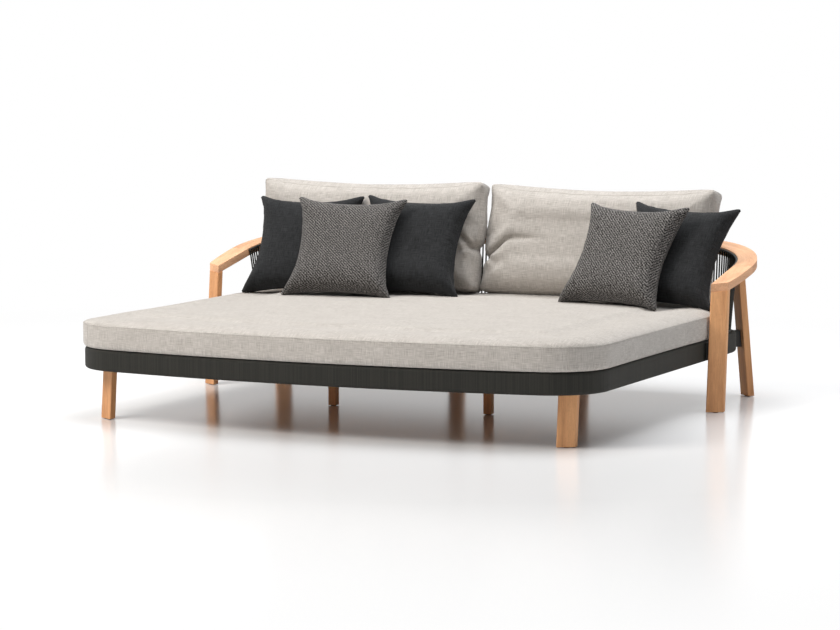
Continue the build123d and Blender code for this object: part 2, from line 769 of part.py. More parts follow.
def mattress_outline(inset, draw):
    """The mattress in plan, with a bowed front and its other sides drawn in a little."""
    x = mattress_half_width - inset
    back = post_y + mattress_back - inset
    bow = front_bow_radius + mattress_front - deck_front - inset
    front_r = max(mattress_front_radius - inset, mattress_edge)
    back_r = mattress_back_radius - inset
    back_cut = back_r * (1 - diagonal_share)
    bend_x = x - front_r
    bend_ahead = math.sqrt((bow - front_r) ** 2 - bend_x**2)
    bend_y = bow_middle_y - bend_ahead
    start_x = bend_x * bow / (bow - front_r)
    start_y = bow_middle_y - bend_ahead * bow / (bow - front_r)
    halfway = (math.atan2(bend_x, bend_ahead) - math.pi / 2) / 2
    cut_x = bend_x + front_r * math.cos(halfway)
    cut_y = bend_y + front_r * math.sin(halfway)
    middle = (bend_y + back - back_r) / 2
    with BuildLine() as outline:
        ThreePointArc((-start_x, start_y), (0, bow_middle_y - bow), (start_x, start_y))
        ThreePointArc((start_x, start_y), (cut_x, cut_y), (x, bend_y))
        ThreePointArc((x, bend_y), (x - draw, middle), (x, back - back_r))
        ThreePointArc((x, back - back_r), (x - back_cut, back - back_cut), (x - back_r, back))
        ThreePointArc((x - back_r, back), (0, back - draw), (-x + back_r, back))
        ThreePointArc((-x + back_r, back), (-x + back_cut, back - back_cut), (-x, back - back_r))
        ThreePointArc((-x, back - back_r), (-x + draw, middle), (-x, bend_y))
        ThreePointArc((-x, bend_y), (-cut_x, cut_y), (-start_x, start_y))
    make_face(outline.edges())


mattress_bottom = deck_top + soft_gap
mattress_seam = mattress_bottom + mattress_height
with BuildPart() as mattress:
    with BuildSketch(Plane.XY.offset(mattress_bottom)):
        mattress_outline(0, mattress_draw)
    extrude(amount=mattress_height)
    fillet(mattress.edges().group_by(Axis.Z)[0], radius=mattress_edge)
    for rise_share, inset_share in zip(mattress_rise_shares, mattress_inset_shares):
        with BuildSketch(Plane.XY.offset(mattress_seam + mattress_crown * rise_share)):
            mattress_outline(mattress_edge * inset_share, mattress_draw)
    loft()
save(mattress.part, "mattress")


def drawn_rectangle(half_width, half_height, corner, draw):
    """A rounded rectangle whose sides curve in by a draw at their middles."""
    x, y, r = half_width, half_height, corner
    cut = corner * (1 - diagonal_share)
    with BuildLine() as outline:
        ThreePointArc((-x + r, -y), (0, -y + draw), (x - r, -y))
        ThreePointArc((x - r, -y), (x - cut, -y + cut), (x, -y + r))
        ThreePointArc((x, -y + r), (x - draw, 0), (x, y - r))
        ThreePointArc((x, y - r), (x - cut, y - cut), (x - r, y))
        ThreePointArc((x - r, y), (0, y - draw), (-x + r, y))
        ThreePointArc((-x + r, y), (-x + cut, y - cut), (-x, y - r))
        ThreePointArc((-x, y - r), (-x + draw, 0), (-x, -y + r))
        ThreePointArc((-x, -y + r), (-x + cut, -y + cut), (-x + r, -y))
    make_face(outline.edges())


def standing_plane(foot, yaw, lean, roll, reach):
    """A plane up the middle of a leaning cushion, a reach above its foot, facing the front."""
    yaw, lean = math.radians(yaw), math.radians(lean)
    across = Vector(math.cos(yaw), math.sin(yaw), 0)
    level = Vector(-math.sin(yaw), math.cos(yaw), 0)
    up = level * math.sin(lean) + Vector(0, 0, math.cos(lean))
    upright = Plane(origin=Vector(*foot) + up * reach, x_dir=across, z_dir=across.cross(up))
    return upright.rotated((0, 0, roll))


def soft_block(plane, half_width, half_height, corner, draw, stations):
    """Lofts a cushion through outlines; each station is an offset, an inset and a share of the draw."""
    with BuildPart() as made:
        for run in stations:
            for offset, inset, draw_share in run:
                with BuildSketch(plane.offset(offset)):
                    drawn_rectangle(half_width - inset, half_height - inset, corner, draw * draw_share)
            loft()
    return made.part


def settled(piece, others, gap_behind):
    """Lets a soft piece down on the mattress and pushes it back towards what it leans on."""
    ways = [((0, 0, -1), [mattress.part], soft_gap), ((0, 1, 0), others, gap_behind)]
    for _ in range(settle_rounds):
        for way, nearby, gap in ways:
            space = min(piece.distance_to(other) for other in nearby) - gap
            piece = piece.moved(Location(Vector(*way) * space))
    return piece


rest_height = mattress_seam + mattress_crown + cushion_draw
half_band = cushion_band / 2
soft_parts = {}
cushion_face = [
    (half_band, 0, 1),
    (half_band + cushion_shoulder_share * cushion_crown, cushion_shoulder_inset, 1),
    (half_band + cushion_crown, cushion_crown_inset, flattest_draw_share),
]
cushion_stations = [
    [(-half_band, 0, 1), (0, -cushion_draw * band_bulge_share, 1), (half_band, 0, 1)],
    cushion_face,
    [(-offset, inset, share) for offset, inset, share in cushion_face],
]
for name, x, yaw in cushion_places:
    foot = (x, post_y + cushion_foot_behind, rest_height + half_band * math.sin(math.radians(cushion_lean)))
    plane = standing_plane(foot, yaw, cushion_lean, 0, cushion_height / 2)
    cushion = soft_block(
        plane, cushion_width / 2, cushion_height / 2, cushion_corner, cushion_draw, cushion_stations
    )
    soft_parts[name] = settled(cushion, rail_parts + bar_parts + cord_parts, cushion_gap)
    save(soft_parts[name], name)

pillow_offsets = [pillow_half_thickness * share for share in pillow_offset_shares]
pillow_insets = [pillow_draw * share for share in pillow_inset_shares]
pillow_front = list(zip(pillow_offsets, pillow_insets, pillow_draw_shares))
pillow_stations = [pillow_front, [(-offset, inset, share) for offset, inset, share in pillow_front]]
for name, x, steps, yaw, roll in pillow_places:
    turn = math.radians(abs(roll))
    reach = pillow_height / 2 * math.cos(turn) + pillow_width / 2 * math.sin(turn)
    foot = (x, post_y + pillow_foot_behind - steps * pillow_step, rest_height)
    plane = standing_plane(foot, yaw, pillow_lean, roll, reach)
    half_width, half_height = pillow_width / 2, pillow_height / 2
    pillow = soft_block(plane, half_width, half_height, pillow_corner, pillow_draw, pillow_stations)
    soft_parts[name] = settled(pillow, [soft_parts[other] for other in leans_on[name]], soft_gap)
    save(soft_parts[name], name)
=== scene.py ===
"""Dresses the outdoor daybed: oiled wood, cord wrap, strung back, mattress, cushions and pillows."""
import logging
import math
from dataclasses import dataclass
from enum import Enum
from typing import Any, Callable

import bmesh
import bpy
from mathutils import Matrix, Vector, noise


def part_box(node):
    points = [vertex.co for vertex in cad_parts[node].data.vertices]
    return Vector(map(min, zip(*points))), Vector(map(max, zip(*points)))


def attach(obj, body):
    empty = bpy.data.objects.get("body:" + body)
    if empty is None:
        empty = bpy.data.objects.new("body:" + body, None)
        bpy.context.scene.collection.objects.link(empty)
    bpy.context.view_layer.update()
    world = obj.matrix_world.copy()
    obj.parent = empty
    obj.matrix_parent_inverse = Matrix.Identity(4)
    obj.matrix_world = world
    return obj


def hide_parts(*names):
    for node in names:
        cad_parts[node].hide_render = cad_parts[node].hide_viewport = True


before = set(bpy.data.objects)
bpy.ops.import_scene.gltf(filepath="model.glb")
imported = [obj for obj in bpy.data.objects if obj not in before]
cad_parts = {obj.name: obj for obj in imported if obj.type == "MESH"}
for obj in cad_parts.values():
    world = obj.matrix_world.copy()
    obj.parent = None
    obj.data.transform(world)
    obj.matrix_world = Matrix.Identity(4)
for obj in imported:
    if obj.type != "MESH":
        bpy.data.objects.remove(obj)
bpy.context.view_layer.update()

LOG = logging.getLogger("daybed")
FILL_FRAMES = 14
TINY = 0.0001

# Places and sizes of the CAD part, in metres
POST_Y = 0.36215
RAIL_BEND = Vector((0.845, POST_Y + 0.285, 0.0))
RAIL_BEND_RADIUS = 0.354
RIM_FRONT_BEND = Vector((0.898, POST_Y - 1.1232, 0.0))
RIM_BACK_BEND = Vector((0.888, POST_Y + 0.346, 0.0))
RIM_FRONT_RADIUS = 0.24
RIM_BACK_RADIUS = 0.25
MATTRESS_TOP = 0.4243
MATTRESS_SEAM = 0.3923
MATTRESS_BOTTOM = 0.2963
MATTRESS_HALF_WIDTH = 1.146
MATTRESS_FRONT = POST_Y - 1.446
MATTRESS_BACK = POST_Y + 0.5

Colour = tuple[float, float, float, float]


def rgb(red: float, green: float, blue: float) -> Colour:
    """A solid colour from three linear values."""
    return (red, green, blue, 1.0)


class Value:
    """A number socket in a material; the usual operators on it add Math nodes."""

    def __init__(self, tree: "Tree", socket: bpy.types.NodeSocket) -> None:
        """Keeps the socket and the tree that it is in."""
        self.tree = tree
        self.socket = socket

    def _join(self, operation: str, first: Any, second: Any = 0.0) -> "Value":
        """Adds one Math node.

        Args:
            operation: The Math node's operation.
            first: Its first value or socket.
            second: Its second value or socket.

        Returns:
            The node's result.
        """
        made = self.tree.node("ShaderNodeMath", {"operation": operation}, {0: first, 1: second})
        return Value(self.tree, made.outputs[0])

    def __add__(self, other: Any) -> "Value":
        """The sum."""
        return self._join("ADD", self, other)

    def __radd__(self, other: Any) -> "Value":
        """The sum, with the number first."""
        return self._join("ADD", other, self)

    def __sub__(self, other: Any) -> "Value":
        """The difference."""
        return self._join("SUBTRACT", self, other)

    def __rsub__(self, other: Any) -> "Value":
        """The difference, with the number first."""
        return self._join("SUBTRACT", other, self)

    def __mul__(self, other: Any) -> "Value":
        """The product."""
        return self._join("MULTIPLY", self, other)

    def __rmul__(self, other: Any) -> "Value":
        """The product, with the number first."""
        return self._join("MULTIPLY", other, self)

    def __truediv__(self, other: Any) -> "Value":
        """The quotient."""
        return self._join("DIVIDE", self, other)

    def __pow__(self, other: Any) -> "Value":
        """The power."""
        return self._join("POWER", self, other)

    def sine(self) -> "Value":
        """The sine."""
        return self._join("SINE", self)

    def whole(self) -> "Value":
        """The whole number below."""
        return self._join("FLOOR", self)

    def part(self) -> "Value":
        """What is over the whole number below."""
        return self._join("FRACT", self)

    def most(self, other: Any) -> "Value":
        """The greater of the two."""
        return self._join("MAXIMUM", self, other)

    def over(self, limit: float) -> "Value":
        """One where the value is over a limit, else zero."""
        return self._join("GREATER_THAN", self, limit)


class Tree:
    """The nodes of one material."""

    def __init__(self, name: str) -> None:
        """Starts a material with a plain shader."""
        self.material = bpy.data.materials.new(name)
        self.material.use_nodes = True
        self.nodes = self.material.node_tree.nodes
        self.links = self.material.node_tree.links
        self.shader = self.nodes["Principled BSDF"]
        self.output = self.nodes["Material Output"]

    @classmethod
    def of_world(cls, world: bpy.types.World) -> "Tree":
        """The nodes of a world, with nothing in them but its output."""
        tree = cls.__new__(cls)
        tree.nodes = world.node_tree.nodes
        tree.links = world.node_tree.links
        tree.nodes.clear()
        tree.output = tree.nodes.new("ShaderNodeOutputWorld")
        return tree

    def node(self, kind: str, settings: dict[str, Any], values: dict[Any, Any]) -> bpy.types.Node:
        """Adds a node.

        Args:
            kind: The node's type.
            settings: Its settings, set first; "stops" are a colour ramp's places and colours.
            values: Values or links of its sockets, by name or number.

        Returns:
            The node.
        """
        made = self.nodes.new(kind)
        for key, setting in settings.items():
            if key == "stops":
                self._set_stops(made.color_ramp, setting)
            else:
                setattr(made, key, setting)
        for key, value in values.items():
            self.feed(made.inputs[key], value)
        return made

    def feed(self, socket: bpy.types.NodeSocket, value: Any) -> None:
        """Links a socket to a value's socket, or sets it to a plain value."""
        if isinstance(value, Value):
            self.links.new(value.socket, socket)
        elif isinstance(value, bpy.types.NodeSocket):
            self.links.new(value, socket)
        else:
            socket.default_value = value

    @staticmethod
    def _set_stops(ramp: bpy.types.ColorRamp, stops: list[tuple[float, Colour]]) -> None:
        """Puts stops on a colour ramp that has two."""
        while len(ramp.elements) < len(stops):
            ramp.elements.new(0.5)
        for element, (place, colour) in zip(ramp.elements, stops):
            element.position = place
            element.color = colour

    def place(self) -> bpy.types.NodeSocket:
        """Object coordinates."""
        return self.node("ShaderNodeTexCoord", {}, {}).outputs["Object"]

    def parts(self, vector: bpy.types.NodeSocket) -> tuple[Value, Value, Value]:
        """The three numbers of a vector."""
        split = self.node("ShaderNodeSeparateXYZ", {}, {0: vector})
        return Value(self, split.outputs[0]), Value(self, split.outputs[1]), Value(self, split.outputs[2])

    def vector(self, x: Any, y: Any, z: Any) -> bpy.types.NodeSocket:
        """A vector from three numbers."""
        return self.node("ShaderNodeCombineXYZ", {}, {0: x, 1: y, 2: z}).outputs[0]

    def noise(self, vector: Any, scale: float, detail: float = 2.0, warp: float = 0.0) -> Value:
        """Soft noise from nought to one at a vector."""
        values = {"Vector": vector, "Scale": scale, "Detail": detail, "Distortion": warp}
        return Value(self, self.node("ShaderNodeTexNoise", {}, values).outputs[0])

    def blend(self, factor: Any, first: Any, second: Any) -> bpy.types.NodeSocket:
        """Mixes two colours.

        Args:
            factor: How much of the second colour.
            first: The first colour or its socket.
            second: The second colour or its socket.

        Returns:
            The mixed colour's socket.
        """
        made = self.node("ShaderNodeMix", {"data_type": "RGBA"}, {0: factor, 6: first, 7: second})
        return made.outputs[2]

    def ramp(self, factor: Value, stops: list[tuple[float, Colour]]) -> bpy.types.NodeSocket:
        """A colour from a number and stops."""
        return self.node("ShaderNodeValToRGB", {"stops": stops}, {0: factor}).outputs[0]

    def bump(self, height: Value, distance: float, strength: float = 1.0) -> None:
        """Feeds the shader's normal from a height."""
        values = {"Height": height, "Distance": distance, "Strength": strength}
        self.feed(self.shader.inputs["Normal"], self.node("ShaderNodeBump", {}, values).outputs[0])

    def plain(self, roughness: float, specular: float = 0.5, metallic: float = 0.0) -> None:
        """Sets the shader's even values."""
        self.shader.inputs["Roughness"].default_value = roughness
        self.shader.inputs["Specular IOR Level"].default_value = specular
        self.shader.inputs["Metallic"].default_value = metallic


class Run(Enum):
    """Which way a pattern's length lies on a piece."""

    UPRIGHT = "upright"
    ACROSS = "across"
    DEEP = "deep"
    LEFT_RAIL_BEND = "left rail bend"
    RIGHT_RAIL_BEND = "right rail bend"
    LEFT_FRONT_BEND = "left front bend"
    RIGHT_FRONT_BEND = "right front bend"
    LEFT_BACK_BEND = "left back bend"
    RIGHT_BACK_BEND = "right back bend"


BENDS: dict[Run, tuple[Vector, float, int]] = {
    Run.LEFT_RAIL_BEND: (RAIL_BEND, RAIL_BEND_RADIUS, -1),
    Run.RIGHT_RAIL_BEND: (RAIL_BEND, RAIL_BEND_RADIUS, 1),
    Run.LEFT_FRONT_BEND: (RIM_FRONT_BEND, RIM_FRONT_RADIUS, -1),
    Run.RIGHT_FRONT_BEND: (RIM_FRONT_BEND, RIM_FRONT_RADIUS, 1),
    Run.LEFT_BACK_BEND: (RIM_BACK_BEND, RIM_BACK_RADIUS, -1),
    Run.RIGHT_BACK_BEND: (RIM_BACK_BEND, RIM_BACK_RADIUS, 1),
}


def along_run(tree: Tree, run: Run) -> tuple[Value, Value, Value]:
    """Coordinates along a piece and over its section.

    Args:
        tree: The material's nodes.
        run: Which way the piece's length lies.

    Returns:
        The place along the length and two places over the section, in metres.
    """
    x, y, z = tree.parts(tree.place())
    if run is Run.UPRIGHT:
        return z, x, y
    if run is Run.ACROSS:
        return x, y, z
    if run is Run.DEEP:
        return y, x, z
    centre, radius, side = BENDS[run]
    out_x = x - side * centre.x
    out_y = y - centre.y
    angle = tree.node("ShaderNodeMath", {"operation": "ARCTAN2"}, {0: out_y, 1: out_x * side})
    reach = (out_x * out_x + out_y * out_y) ** 0.5
    return Value(tree, angle.outputs[0]) * radius, reach, z


@dataclass(frozen=True)
class Wood:
    """Oiled wood with its grain along the piece."""

    name: str
    run: Run
    light: Colour = rgb(0.80, 0.425, 0.20)
    middle: Colour = rgb(0.66, 0.325, 0.145)
    dark: Colour = rgb(0.45, 0.20, 0.085)
    pore: Colour = rgb(0.30, 0.125, 0.05)

    def build(self) -> bpy.types.Material:
        """Makes the material."""
        tree = Tree(self.name)
        along, one, other = along_run(tree, self.run)
        grain = tree.vector(along * 1.1, one * 16.0, other * 16.0)
        fine = tree.vector(along * 7.0, one * 190.0, other * 190.0)
        bands = tree.noise(grain, 1.0, 4.0, 0.9)
        streaks = tree.noise(fine, 1.0, 3.0)
        mixed = bands * 0.72 + streaks * 0.28
        stops = [(0.3, self.dark), (0.5, self.middle), (0.68, self.light)]
        body = tree.ramp(mixed, stops)
        pores = tree.noise(tree.vector(along * 26.0, one * 900.0, other * 900.0), 1.0, 1.0).over(0.66)
        tree.feed(tree.shader.inputs["Base Color"], tree.blend(pores * 0.35, body, self.pore))
        tree.feed(tree.shader.inputs["Roughness"], 0.5 + streaks * 0.14)
        tree.shader.inputs["Specular IOR Level"].default_value = 0.35
        tree.bump(streaks - pores * 0.5, 0.00035, 0.5)
        return tree.material


@dataclass(frozen=True)
class Wrap:
    """Cord laid side by side round the rim, with painted shade on each cord's flanks, between its strands
    and in the grooves between turns.
    """

    name: str
    run: Run
    pitch: float = 0.0044
    lay: float = 0.0035
    crown: Colour = rgb(0.027, 0.0255, 0.0195)
    # Near-black colour of the painted shade in the grooves between turns
    groove_shade: Colour = rgb(0.002, 0.002, 0.0016)

    def build(self) -> bpy.types.Material:
        """Makes the material."""
        tree = Tree(self.name)
        along, reach, up = along_run(tree, self.run)
        turns = along / self.pitch
        across = turns.part() * 2.0 - 1.0
        round_top = 1.0 - across * across
        number = tree.vector(turns.whole(), 0.0, 0.0)
        white = tree.node("ShaderNodeTexWhiteNoise", {"noise_dimensions": "3D"}, {"Vector": number})
        tint = Value(tree, white.outputs[0])
        strands = ((up + reach + along * 1.2) * (2.0 * math.pi / self.lay)).sine()
        # Painted shade: the rounded profile and the strand lay darken each cord towards the groove colour;
        # the tint per turn is the cord's own tone.
        shade = (round_top ** 0.7) * (0.55 + tint * 0.5) * (0.88 + strands * 0.12)
        tree.feed(tree.shader.inputs["Base Color"], tree.blend(shade, self.groove_shade, self.crown))
        tree.plain(0.72, 0.3)
        tree.bump((round_top ** 0.5) + strands * 0.1, 0.0011, 0.9)
        return tree.material


@dataclass(frozen=True)
class LaidCord:
    """The taut cords of the strung back, with painted shade between the twisted strands."""

    name: str
    lay: float = 0.006
    light: Colour = rgb(0.036, 0.035, 0.028)
    dark: Colour = rgb(0.008, 0.008, 0.006)

    def build(self) -> bpy.types.Material:
        """Makes the material."""
        tree = Tree(self.name)
        x, y, z = tree.parts(tree.place())
        strands = ((z + x * 0.9 + y * 0.9) * (2.0 * math.pi / self.lay)).sine() * 0.5 + 0.5
        fuzz = tree.noise(tree.place(), 700.0)
        # Painted shade: the strand wave darkens the cord towards the dark colour in the hollows between
        # strands; the fuzz is the cord's own tone.
        body = tree.blend(strands * 0.8 + fuzz * 0.2, self.dark, self.light)
        tree.feed(tree.shader.inputs["Base Color"], body)
        tree.plain(0.75, 0.3)
        tree.bump(strands + fuzz * 0.4, 0.0006, 0.8)
        return tree.material


@dataclass(frozen=True)
class Coating:
    """Powder coat, brushed steel or moulded plastic, with a fine grain."""

    name: str
    colour: Colour
    roughness: float
    metallic: float = 0.0
    grain: float = 900.0
    depth: float = 0.00012

    def build(self) -> bpy.types.Material:
        """Makes the material."""
        tree = Tree(self.name)
        speckle = tree.noise(tree.place(), self.grain, 3.0)
        worn = tree.noise(tree.place(), 22.0, 3.0)
        base = tree.blend(worn * 0.35, self.colour, tuple(c * 0.6 for c in self.colour[:3]) + (1.0,))
        tree.feed(tree.shader.inputs["Base Color"], base)
        tree.plain(self.roughness, 0.5, self.metallic)
        tree.feed(tree.shader.inputs["Roughness"], self.roughness - 0.05 + speckle * 0.12)
        tree.bump(speckle, self.depth, 0.6)
        return tree.material


class Weave(Enum):
    """How a fabric's threads cross."""

    PLAIN = "plain"
    TWILL = "twill"


@dataclass(frozen=True)
class Cloth:
    """Woven outdoor fabric, laid by the piece's own UV map in metres."""

    name: str
    light: Colour
    dark: Colour
    weave: Weave = Weave.PLAIN
    thread: float = 0.0018
    rib: float = 0.0125
    slub: float = 0.5
    depth: float = 0.0005
    sheen: float = 0.25

    def build(self) -> bpy.types.Material:
        """Makes the material."""
        tree = Tree(self.name)
        uv = tree.node("ShaderNodeUVMap", {"uv_map": "cut"}, {}).outputs[0]
        u, v, _ = tree.parts(uv)
        turn = 2.0 * math.pi / self.thread
        warp = tree.noise(tree.vector(u * 420.0, v * 24.0, 0.0), 1.0, 2.0)
        weft = tree.noise(tree.vector(u * 24.0, v * 420.0, 3.0), 1.0, 2.0)
        mottle = tree.noise(tree.vector(u * 9.0, v * 9.0, 7.0), 1.0, 3.0)
        if self.weave is Weave.PLAIN:
            threads = (u * turn).sine() * (v * turn).sine() * 0.5 + 0.5
            tone = (warp + weft - 1.0) * (2.4 * self.slub) + 0.5 + (mottle - 0.5) * 0.3
            tone = tone + (threads - 0.5) * 0.25
        else:
            waver = (mottle - 0.5) * 0.004
            threads = ((v + u * 0.9 + waver) * (2.0 * math.pi / self.rib)).sine() * 0.5 + 0.5
            fleck = tree.noise(tree.vector(u * 150.0, v * 240.0, 0.0), 1.0, 2.0)
            tone = threads * 0.42 + (fleck - 0.5) * 2.6 + 0.14 + (warp + weft - 1.0) * self.slub
        stops = [(0.15, self.dark), (0.85, self.light)]
        tree.feed(tree.shader.inputs["Base Color"], tree.ramp(tone, stops))
        tree.plain(0.92, 0.2)
        tree.shader.inputs["Sheen Weight"].default_value = self.sheen
        tree.shader.inputs["Sheen Roughness"].default_value = 0.5
        tree.bump(threads + (warp + weft) * 0.8, self.depth, 0.8)
        return tree.material


@dataclass(frozen=True)
class StudioFloor:
    """Pale polished floor that keeps the shadow and runs out into white."""

    name: str = "studio_floor_white"
    clear: float = 2.2
    run_out: float = 2.6
    colour: Colour = rgb(0.86, 0.86, 0.865)
    roughness: float = 0.2
    specular: float = 0.8

    def build(self) -> bpy.types.Material:
        """Makes the material."""
        tree = Tree(self.name)
        x, y, _ = tree.parts(tree.place())
        tree.shader.inputs["Base Color"].default_value = self.colour
        tree.plain(self.roughness, self.specular)
        away = (x * x * 0.8 + (y + 0.3) * (y + 0.3)) ** 0.5
        fade = (away - self.clear) / self.run_out
        limited = tree.node("ShaderNodeClamp", {}, {0: fade})
        rays = tree.node("ShaderNodeLightPath", {}, {})
        seen = Value(tree, rays.outputs["Is Camera Ray"])
        glow = tree.node("ShaderNodeEmission", {}, {"Color": rgb(1.0, 1.0, 1.0), "Strength": 1.0})
        factor = Value(tree, limited.outputs[0]) * seen
        ends = {0: factor, 1: tree.shader.outputs[0], 2: glow.outputs[0]}
        mixed = tree.node("ShaderNodeMixShader", {}, ends)
        tree.feed(tree.output.inputs["Surface"], mixed.outputs[0])
        return tree.material


class Finishes:
    """Builds each finish once."""

    def __init__(self) -> None:
        """Starts with nothing built."""
        self.made: dict[str, bpy.types.Material] = {}

    def of(self, finish: Any) -> bpy.types.Material:
        """The material of a finish, built on first use."""
        if finish.name not in self.made:
            self.made[finish.name] = finish.build()
        return self.made[finish.name]


FINISHES = Finishes()
PALE = Cloth("pale_outdoor_canvas", rgb(0.575, 0.54, 0.50), rgb(0.34, 0.31, 0.28), thread=0.0021, slub=0.5)
CHARCOAL = Cloth("charcoal_outdoor_canvas", rgb(0.029, 0.030, 0.032), rgb(0.006, 0.0065, 0.007), sheen=0.04)
TWILL_LIGHT, TWILL_DARK = rgb(0.25, 0.235, 0.225), rgb(0.008, 0.0075, 0.007)
GREY_TWILL = Cloth("grey_flecked_twill", TWILL_LIGHT, TWILL_DARK, Weave.TWILL, sheen=0.08)
RAIL_TINTS = (rgb(0.86, 0.51, 0.30), rgb(0.72, 0.40, 0.225), rgb(0.47, 0.235, 0.125), rgb(0.31, 0.145, 0.07))
CORDS = LaidCord("taut_laid_cord")
POWDER_COAT = Coating("dark_powder_coat", rgb(0.020, 0.020, 0.018), 0.55)
STEEL = Coating("plain_steel", rgb(0.50, 0.50, 0.50), 0.38, 1.0)
PLASTIC = Coating("black_glide_plastic", rgb(0.020, 0.020, 0.020), 0.6)


def solo(piece: bpy.types.Object) -> None:
    """Selects one object only and makes it active."""
    bpy.ops.object.select_all(action="DESELECT")
    piece.select_set(True)
    bpy.context.view_layer.objects.active = piece


def dress(piece: bpy.types.Object, material: bpy.types.Material) -> None:
    """Gives a piece one material."""
    piece.data.materials.clear()
    piece.data.materials.append(material)


def merged_copy(node: str, name: str) -> bpy.types.Object:
    """A copy of a CAD node with its triangles joined.

    Args:
        node: The CAD node's name.
        name: The new piece's name.

    Returns:
        The new piece, in the same place.
    """
    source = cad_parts[node]
    piece = bpy.data.objects.new(name, source.data.copy())
    bpy.context.scene.collection.objects.link(piece)
    solo(piece)
    bpy.ops.object.mode_set(mode="EDIT")
    bpy.ops.mesh.select_all(action="SELECT")
    bpy.ops.mesh.remove_doubles(threshold=0.00002)
    bpy.ops.object.mode_set(mode="OBJECT")
    return piece


def apply_modifier(piece: bpy.types.Object, kind: str, **settings: Any) -> None:
    """Adds a modifier with its settings and applies it."""
    solo(piece)
    modifier = piece.modifiers.new(kind.lower(), kind)
    for key, value in settings.items():
        setattr(modifier, key, value)
    bpy.ops.object.modifier_apply(modifier=modifier.name)


def smooth(piece: bpy.types.Object, degrees: float) -> None:
    """Shades a piece smooth, but for edges over an angle."""
    solo(piece)
    bpy.ops.object.shade_smooth_by_angle(angle=math.radians(degrees))


def hook(piece: bpy.types.Object, body: str, slot: str, *nodes: str) -> None:
    """Rides a new piece on a body and hides what it stands for."""
    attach(piece, body)
    if nodes:
        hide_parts(*nodes)
    LOG.info("%s: %d faces", piece.name, len(piece.data.polygons))


@dataclass
class WoodenParts:
    """Legs, posts, slats and the five lengths of the rail."""

    edge_rounding: float = 0.0035
    segments: int = 3

    def build(self) -> None:
        """Dresses the legs and makes the rounded rail."""
        for side in ("left", "right"):
            for leg in ("arm_post", "rear_corner_leg", "back_leg", "front_leg", "support_leg"):
                dress(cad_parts[f"{side}_{leg}"], FINISHES.of(Wood("oiled_wood_upright", Run.UPRIGHT)))
        dress(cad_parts["deck_slats"], FINISHES.of(Wood("oiled_wood_deep", Run.DEEP)))
        dress(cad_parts["rail_dowels"], FINISHES.of(Wood("oiled_wood_upright", Run.UPRIGHT)))
        lengths = {
            "left_arm_rail": Run.DEEP,
            "right_arm_rail": Run.DEEP,
            "left_corner_rail": Run.LEFT_RAIL_BEND,
            "right_corner_rail": Run.RIGHT_RAIL_BEND,
            "back_rail": Run.ACROSS,
        }
        for node, run in lengths.items():
            self._rail(node, run)

    def _rail(self, node: str, run: Run) -> None:
        """A rail length with its long edges rounded over."""
        piece = merged_copy(node, f"{node}_rounded")
        solo(piece)
        bpy.ops.object.mode_set(mode="EDIT")
        bpy.ops.mesh.select_all(action="SELECT")
        bpy.ops.mesh.dissolve_limited(angle_limit=math.radians(0.4))
        bpy.ops.mesh.select_all(action="DESELECT")
        bpy.ops.object.mode_set(mode="OBJECT")
        work = bmesh.new()
        work.from_mesh(piece.data)
        picked = [edge for edge in work.edges if self._long_edge(edge, run)]
        bmesh.ops.bevel(
            work, geom=picked, offset=self.edge_rounding, segments=self.segments, profile=0.5,
            affect="EDGES", clamp_overlap=True,
        )
        work.to_mesh(piece.data)
        work.free()
        dress(piece, FINISHES.of(Wood(f"rail_wood_{run.value.replace(' ', '_')}", run, *RAIL_TINTS)))
        smooth(piece, 35.0)
        hook(piece, "frame", "teak", node)

    @staticmethod
    def _long_edge(edge: bmesh.types.BMEdge, run: Run) -> bool:
        """Whether an edge is a sharp one on the rail's top or bottom outline."""
        if len(edge.link_faces) != 2 or edge.calc_face_angle(0.0) < math.radians(50.0):
            return False
        normals = [face.normal for face in edge.link_faces]
        flat = [abs(normal.z) > 0.9 for normal in normals]
        if flat.count(True) != 1:
            return False
        wall = normals[flat.index(False)]
        middle = (edge.verts[0].co + edge.verts[1].co) / 2.0
        if run is Run.ACROSS:
            return abs(wall.y) > 0.9 and edge.calc_length() > 0.05
        if run is Run.DEEP:
            return not (abs(wall.y) > 0.95 and middle.y > RAIL_BEND.y - 0.01) and edge.calc_length() > 0.008
        centre, _, side = BENDS[run]
        out = Vector((middle.x - side * centre.x, middle.y - centre.y, 0.0))
        facing = abs(out.normalized().dot(Vector((wall.x, wall.y, 0.0)).normalized()))
        return facing > 0.9 and out.length > 0.3


@dataclass
class MetalAndCord:
    """The wrapped rim, the strung back and the hidden metal."""

    def build(self) -> None:
        """Dresses every node of the rim, the back and what carries the mattress."""
        runs = {
            "front_wrap": Run.ACROSS,
            "back_wrap": Run.ACROSS,
            "left_wrap": Run.DEEP,
            "right_wrap": Run.DEEP,
            "front_left_corner_wrap": Run.LEFT_FRONT_BEND,
            "front_right_corner_wrap": Run.RIGHT_FRONT_BEND,
            "back_left_corner_wrap": Run.LEFT_BACK_BEND,
            "back_right_corner_wrap": Run.RIGHT_BACK_BEND,
        }
        for node, run in runs.items():
            dress(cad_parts[node], FINISHES.of(Wrap(f"cord_wrap_{run.value.replace(' ', '_')}", run)))
        for node in ("left_corner_cords", "right_corner_cords", "back_cords"):
            dress(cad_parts[node], FINISHES.of(CORDS))
        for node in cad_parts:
            metal = ("bracket", "plate", "beam", "ledge", "cord_bar", "tube")
            if any(word in node for word in metal) and node != "bracket_bolts":
                dress(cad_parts[node], FINISHES.of(POWDER_COAT))
        dress(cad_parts["bracket_bolts"], FINISHES.of(STEEL))
        dress(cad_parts["foot_glides"], FINISHES.of(PLASTIC))


